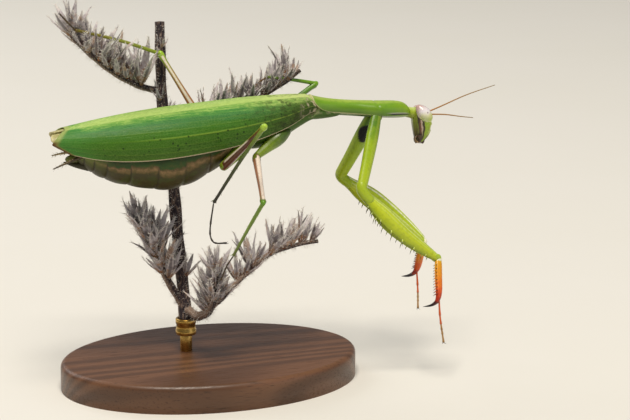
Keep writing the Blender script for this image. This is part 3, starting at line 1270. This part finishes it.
def addFoot(bm, points, radius):
    # five joints, each wider at its end, and a pair of claws
    line = Route(points)
    cuts = limbs["toeJoints"]
    for a, b in zip(cuts, cuts[1:]):
        part = Route([line.at(mix(max(0, a - limbs["toeLap"]), b, k / 4)) for k in range(5)])
        size = lambda t: (radius * (0.78 + 0.5 * t**4) * roundOff(t, 0.12),) * 2
        setMarks(bm, tube(bm, part, size, 20, 16, (0.3, 1, 0.2)), side=a)
    heading = line.heading(1)
    across = heading.cross(Vector((0.3, 0.5, 0.8))).normalized()
    under = across.cross(heading)
    foot = line.at(0.985)
    for side in (-1, 1):
        thorn(bm, foot, foot + heading * 0.42 + across * side * 0.34 + under * 0.22, 0.075,
              -under * 0.14 + across * side * 0.05, 8, 8, tint=1.0)


def addWalkingLeg(name):
    leg = legs[name]
    kind = name.split("_")[0]
    trochanter, knee, ankle = (Vector(leg[key]) for key in ("trochanter", "knee", "ankle"))
    fold = foldWay(leg)
    heading, shinHeading = (knee - trochanter).normalized(), (ankle - knee).normalized()
    bm = newShape()
    addCoxa(bm, leg, kind, 0)
    finishPiece(bm, name + "_coxaSkin", [hipPaint], [name + "_coxa"])
    bm = newShape()
    root = Vector(leg["root"])
    thick, thin = limbs["slimFemur"][kind]
    elbow(bm, trochanter.lerp(root, 0.9 / (root - trochanter).length), trochanter,
          trochanter + heading * 1.5, thick * 0.88, thick * 0.98)
    bulb = limbs["kneeBulb"][kind]
    made = blob(bm, knee - heading * 0.2, (bulb * 0.9, bulb, bulb * 1.3), turnTo(heading), 22)
    setMarks(bm, made, along=1.0, down=0.2)
    def size(t):
        radius = mix(thick, thin, ease(t, 0, 0.8)) + 0.12 * ease(t, 0.9, 0.97)
        return radius * 0.92 * roundOff(t, 0.03), radius * roundOff(t, 0.03)
    femur = Route([trochanter, trochanter.lerp(knee, 0.5), knee])
    tube(bm, femur, size, 90, 32, fold, ridged(0.05, 4))
    finishPiece(bm, name + "_femurSkin", [femurPaints[name]], [name + "_femur"])
    bm = newShape()
    bow = knee.lerp(ankle, 0.45) + Vector((0, 0, limbs["tibiaBow"][kind]))
    shin = Route([knee, bow, ankle])
    def shinSize(t):
        radius = mix(*limbs["slimTibia"], t) + 0.07 * ease(t, 0.93, 1) + 0.1 * ease(t, 0.05, 0)
        return (radius * roundOff(t, 0.02),) * 2
    tube(bm, shin, shinSize, 90, 24, fold, ridged(0.04, 4))
    side = heading.cross(shinHeading).normalized()
    for lobe in (-1, 1):  # spurs at the ankle
        foot = shin.at(0.97) + side * lobe * 0.2
        tip = foot + shinHeading * 0.75 + side * lobe * 0.35 - fold * 0.15
        thorn(bm, foot, tip, 0.1, tint=0.3)
    for i in range(limbs["hairs"]):  # stiff ones down the shin
        t = mix(0.1, 0.92, i / (limbs["hairs"] - 1))
        out = (-fold if i % 2 else fold) * 0.2 + side * (0.5 if i % 3 else -0.5)
        foot = shin.at(t) + out * 0.55
        thorn(bm, foot, foot + out * 0.42 + shinHeading * 0.3, 0.03, rings=3, sides=5, tint=0.2)
    finishPiece(bm, name + "_tibiaSkin", [shinPaints[name]], [name + "_tibia"])
    bm = newShape()
    addFoot(bm, [ankle, *leg["toes"]], limbs["toe"])
    finishPiece(bm, name + "_tarsusSkin", [toePaints[name]], [name + "_tarsus"])


cerci = {
    "beads": 13, "hairs": 70, "thick": (0.4, 0.1), "hairRadius": 0.018,
    "routes": {
        "cercus_right": [(-22.2, -1.4, 43.4), (-25, -2.8, 42.9), (-28.6, -4, 41.9)],
        "cercus_left": [(-22.4, 1.4, 43.6), (-24.6, 2.5, 43.2), (-27.2, 3.5, 42.6)],
    },
}


def addCerci():  # beaded tail feelers with fine hairs
    paints = {"cercus_right": toePaint("cercusBrown", "5c4c28", "35281a"),
              "cercus_left": toePaint("cercusCream", "b3a272", "7a6640")}
    for node, points in cerci["routes"].items():
        random.seed(len(node))
        line = Route(points)
        bm = newShape()
        bead = lambda t: 0.86 + 0.2 * abs(math.sin(t * cerci["beads"] * math.pi))
        size = lambda t: (mix(*cerci["thick"], t) * bead(t) * roundOff(t, 0.02),) * 2
        tube(bm, line, size, 150, 18)
        for i in range(cerci["hairs"]):
            t, a = random.uniform(0.15, 0.98), random.uniform(0, 2 * math.pi)
            out = Vector((0, math.cos(a), math.sin(a)))
            foot = line.at(t) + out * mix(0.34, 0.12, t)
            tip = foot + out * 0.35 + line.heading(t) * 0.3
            thorn(bm, foot, tip, cerci["hairRadius"], rings=2, sides=4)
        finishPiece(bm, node + "Beaded", [paints[node]], [node])


print("legs")
armPaint, coxaPaint, shinPaint = armLime(), coxaLime(), shinOrange()
armToePaint = toePaint("armToeRust", "b48c54", "8c6636", first="cc5618")
hipPaint = legPaint("hipGreen", ((0.15, "2f470a"), (0.42, "4a6a10"), (0.6, "7d9a1e"),
                                 (0.85, "86a022"), (1.0, "5f641c")))
femurPaints = {
    "mid_right": legPaint("femurRose", ((0.0, "566a14"), (0.1, "6c4a1e"), (0.4, "9a6a52"),
                                        (0.72, "a4785e"), (0.9, "56781c"), (1.0, "5f8e1a")),
                          line=(0.88, 0.14), lineColour="ecdccc", under="5c3a20",
                          span=(0.52, 0.38)),
    "mid_left": legPaint("femurLeaf", ((0.0, "466012"), (0.6, "4a7812"), (1.0, "74a214"))),
    "hind_right": legPaint("femurRust", ((0.0, "7a8220"), (0.08, "8a5a1c"), (0.2, "5e3014"),
                                         (0.6, "5a3014"), (0.8, "7a5a18"), (0.9, "86a022"),
                                         (1.0, "a6c83c")),
                           line=(0.38, 0.07), lineColour="e4dac2", span=(0.42, 0.17),
                           edge=(0.68, 0.2), edgeColour="7f9a22"),
    "hind_left": legPaint("femurOrange", ((0.0, "8a5a2c"), (0.3, "b4683a"), (0.6, "a87c40"),
                                          (0.8, "8fa42c"), (1.0, "9cc22e")),
                          line=(0.3, 0.12), lineColour="f3e6d2", under="7a5a2c"),
}
shinPaints = {
    "mid_right": legPaint("shinLeaf", ((0.0, "7aa02a"), (0.5, "7a9634"), (0.8, "6a782c"),
                                       (1.0, "544e1e"))),
    "mid_left": legPaint("shinGrass", ((0.0, "78a61a"), (0.6, "5f8c16"), (1.0, "5f6c1a"))),
    "hind_right": legPaint("shinDark", ((0.0, "93b030"), (0.22, "758e22"), (0.45, "414f12"),
                                        (0.7, "24250b"), (1.0, "17130a"))),
    "hind_left": legPaint("shinOlive", ((0.0, "9cb42c"), (0.35, "8f9c2e"), (0.7, "8c8432"),
                                        (1.0, "6a5520"))),
}
toePaints = {
    "mid_right": toePaint("toeBrown", "4f3c1c", "2c1d12"),
    "mid_left": toePaint("toeTan", "7a5a2a", "4c3418"),
    "hind_right": toePaint("toeDark", "2c1e10", "181009"),
    "hind_left": toePaint("toeOlive", "5c4a1c", "2f2010"),
}
for legName in legs:
    (addGraspingLeg if legName.startswith("fore") else addWalkingLeg)(legName)
addCerci()


perch = {  # the same routes as the solids'; cups: first place, last place and count
    "perch_stem": {
        "route": [(-3.5, 3, 9.6), (-3.5, 4, 14.2), (-3.9, 7, 26.5), (-3.9, 8.7, 33.5),
                  (-4.2, 10.4, 40.6), (-4.9, 11.9, 48.6), (-4.9, 13, 58.4), (-4.8, 13.6, 63.5)],
        "radii": (1.14, 0.9), "cups": (0.1, 0.98, 7), "length": 4.6, "bristles": 900,
    },
    "perch_twig_high_left": {
        "route": [(-5, 12.3, 50.9), (-9.2, 11.2, 52.4), (-13.6, 9.9, 54.9), (-18, 8.1, 58.4),
                  (-21.8, 6.9, 62.2), (-23.4, 6.8, 64.4)],
        "radii": (0.6, 0.38), "cups": (0.16, 0.98, 24), "length": 7.4, "bristles": 320,
    },
    "perch_twig_high_right": {
        "route": [(-4.4, 10.8, 41.6), (4.1, 10.2, 45.4), (11.6, 9.2, 49), (16.8, 8.2, 52),
                  (19.8, 7.9, 54.2)],
        "radii": (0.55, 0.35), "cups": (0.24, 0.98, 21), "length": 6.8, "bristles": 320,
    },
    "perch_twig_near": {
        "route": [(-3.4, 3.7, 12.6), (-2, 0.4, 12), (-0.9, -3.6, 14.2), (-0.7, -6, 18.5),
                  (-0.9, -8, 23.6)],
        "radii": (0.88, 0.5), "cups": (0.36, 0.98, 24), "length": 6.8, "bristles": 520,
    },
    "perch_twig_right": {
        "route": [(0.1, -5, 15.8), (3, -4.4, 18.2), (6.4, -3.6, 20.6), (10.5, -3.2, 23.4),
                  (16.4, -3, 24.8), (19.6, -3, 25)],
        "radii": (0.55, 0.35), "cups": (0.22, 0.98, 15), "length": 6.4, "bristles": 360,
    },
    "perch_twig_low_left": {
        "route": [(-3.9, 3.8, 13.4), (-6.6, 3.9, 18.3), (-8.4, 4, 23), (-10.2, 4.2, 26.4),
                  (-12.6, 4.2, 29.4)],
        "radii": (0.72, 0.46), "cups": (0.3, 0.98, 21), "length": 7.4, "bristles": 360,
    },
}
cup = {"kinds": 5, "sepals": 5, "wide": 0.088, "thick": 0.016, "open": (0.1, 0.34),
       "bristles": 26, "bristleLength": (0.06, 0.17), "bristleRadius": 0.0085,
       "goldenTurn": math.pi * (3 - math.sqrt(5)),
       "sepalLine": [(0, 0.5), (0.15, 0.85), (0.4, 1.0), (0.7, 0.72), (1, 0.08)]}
bristles = {"radius": 0.042, "length": (0.35, 1.1)}


def bristle(bm, foot, tip, radius):
    way = tip - foot
    placing = Matrix.Translation((foot + tip) / 2) @ turnTo(way)
    made = bmesh.ops.create_cone(bm, cap_ends=True, segments=3, radius1=radius, radius2=0,
                                 depth=way.length, matrix=placing)["verts"]
    setMarks(bm, made, tint=1.0)


def flowerCup(seed):  # a dried cup of narrow pointed sepals edged with bristles, one unit long
    random.seed(seed)
    bm = newShape()
    for i in range(cup["sepals"]):
        a = (i + random.uniform(-0.2, 0.2)) * 2 * math.pi / cup["sepals"]
        out = Vector((math.cos(a), math.sin(a), 0))
        wide = random.uniform(*cup["open"])
        length = random.uniform(0.72, 1.05)
        curl = random.uniform(-0.06, 0.12)
        line = Route([out * 0.015, out * (0.06 + wide * 0.25) + Vector((0, 0, length * 0.3)),
                      out * (0.06 + wide * 0.7) + Vector((0, 0, length * 0.68)),
                      out * (0.05 + wide + curl) + Vector((0, 0, length))])
        size = lambda t: tuple(cup[way] * readLine(cup["sepalLine"], t)
                               for way in ("wide", "thick"))
        tube(bm, line, size, 8, 8, out, spread=lambda t: t)
        across = out.cross(Vector((0, 0, 1)))
        for j in range(cup["bristles"]):
            t = random.uniform(0.04, 0.99)
            edge = across * random.choice((-1, 1)) * (1 - 0.4 * random.random())
            edge += out * random.uniform(-0.2, 0.6)
            foot = line.at(t) + edge * size(t)[0] * 0.8
            way = (edge + Vector((0, 0, random.uniform(0.3, 1.4)))).normalized()
            tip = foot + way * random.uniform(*cup["bristleLength"])
            bristle(bm, foot, tip, cup["bristleRadius"])
    mesh = bpy.data.meshes.new("flowerCup")
    bm.to_mesh(mesh)
    bm.free()
    for polygon in mesh.polygons:
        polygon.material_index = 1
    return mesh


def stamp(bm, mesh, matrix):  # adds a copy of a small mesh
    copy = mesh.copy()
    copy.transform(matrix)
    bm.from_mesh(copy)
    bpy.data.meshes.remove(copy)


def addPerch():
    bark, dried = barkDark(), driedFlower()
    cups = [flowerCup(seed) for seed in range(cup["kinds"])]
    for node, twig in perch.items():
        random.seed(node)
        line = Route(twig["route"])
        radius = lambda t: mix(*twig["radii"], t)
        isStem = node == "perch_stem"
        bm = newShape()
        size = lambda t: (radius(t) * (1 + 0.06 * math.sin(t * 37)) * roundOff(t, 0.002),) * 2
        tube(bm, line, size, 120, 20, (1, 0.1, 0) if isStem else (0.2, 1, 0.3),
             ridged(0.07, 5, 6))
        for i in range(twig["bristles"]):
            t, a = random.uniform(0.01, 0.99), random.uniform(0, 2 * math.pi)
            heading = line.heading(t)
            across = heading.cross(Vector((0.2, 0.9, 0.3))).normalized()
            out = across * math.cos(a) + heading.cross(across) * math.sin(a)
            foot = line.at(t) + out * radius(t) * 0.9
            way = out + heading * random.uniform(0, 0.5)
            bristle(bm, foot, foot + way * random.uniform(*bristles["length"]),
                    bristles["radius"])
        first, last, count = twig["cups"]
        for i in range(count):
            tuft = (i // 3 + random.uniform(0.1, 0.7)) / (count / 3)  # in threes
            t = min(last, mix(first, last, tuft))
            heading = line.heading(t)
            out = heading.cross(Vector((0.1, 1, 0))).normalized()
            out.rotate(Matrix.Rotation(i * cup["goldenTurn"], 3, heading))
            out.z = abs(out.z)  # cups sit on the upper side
            rise = Vector((0, 0, random.uniform(0.45, 1.0)))
            way = heading * random.uniform(0.1, 0.5) + out * random.uniform(0.3, 0.8) + rise
            spin = Matrix.Rotation(random.uniform(0, 2 * math.pi), 4, "Z")
            length = twig["length"] * random.uniform(0.65, 1.2) * mix(1, 0.8, t)
            placing = Matrix.Translation(line.at(t) + out * radius(t) * 0.5)
            placing = placing @ turnTo(way.normalized()) @ spin @ Matrix.Scale(length, 4)
            stamp(bm, random.choice(cups), placing)
        finishPiece(bm, node.replace("perch_", "dried_"), [bark, dried],
                    [node])


print("perch")
addPerch()


stand = {"edge": 1.0, "steps": 6, "sides": 128, "turnedSteps": 48, "rodEdge": 0.15,
         "collarWall": 0.6, "collarEdge": 0.12, "beadWidth": 0.9, "beadEnd": 1.0}


def addStand():
    low, high = boxOf("stand_base")
    bm = newShape()
    half = (high - low) / 2
    placing = Matrix.Translation((0, 0, low.z)) @ Matrix.Diagonal((half.x, half.y, 1, 1))
    bmesh.ops.create_circle(bm, cap_ends=True, radius=1, segments=stand["sides"], matrix=placing)
    raised = bmesh.ops.extrude_face_region(bm, geom=bm.faces[:])["geom"]
    bmesh.ops.translate(bm, vec=(0, 0, high.z - low.z),
                        verts=[g for g in raised if isinstance(g, bmesh.types.BMVert)])
    rim = [e for e in bm.edges if all(v.co.z > low.z + 1 for v in e.verts)]
    bmesh.ops.bevel(bm, geom=rim, offset=stand["edge"], segments=stand["steps"], profile=0.5,
                    affect="EDGES", material=-1)
    finishPiece(bm, "standBase", [oiledWood()], ["stand_base"])
    brass = turnedBrass()
    for node, name in (("stand_rod", "standRod"), ("stand_collar", "standCollar")):
        low, high = boxOf(node)
        centre, radius = (low + high) / 2, (high.y - low.y) / 2
        bm = newShape()
        if node == "stand_rod":
            edge = stand["rodEdge"]
            profile = [(0, low.z), (radius, low.z), (radius, high.z - edge),
                       (radius - edge, high.z), (0, high.z)]
        else:
            edge, bore = stand["collarEdge"], radius - stand["collarWall"]
            width, end = stand["beadWidth"], stand["beadEnd"]
            profile = [(bore, low.z), (radius - edge, low.z), (radius, low.z + edge),
                       (radius, low.z + width), (radius - edge, low.z + end),
                       (radius - edge, high.z - end), (radius, high.z - width),
                       (radius, high.z - edge), (radius - edge, high.z), (bore, high.z)]
        verts = [bm.verts.new((centre.x + r, centre.y, z)) for r, z in profile]
        edges = [bm.edges.new(pair) for pair in zip(verts, verts[1:])]
        if node == "stand_collar":
            edges.append(bm.edges.new((verts[-1], verts[0])))
        bmesh.ops.spin(bm, geom=verts + edges, cent=(centre.x, centre.y, 0), axis=(0, 0, 1),
                       angle=2 * math.pi, steps=stand["turnedSteps"], use_merge=True)
        bmesh.ops.remove_doubles(bm, verts=bm.verts, dist=1e-4)
        finishPiece(bm, name, [brass], [node])


print("stand")
addStand()
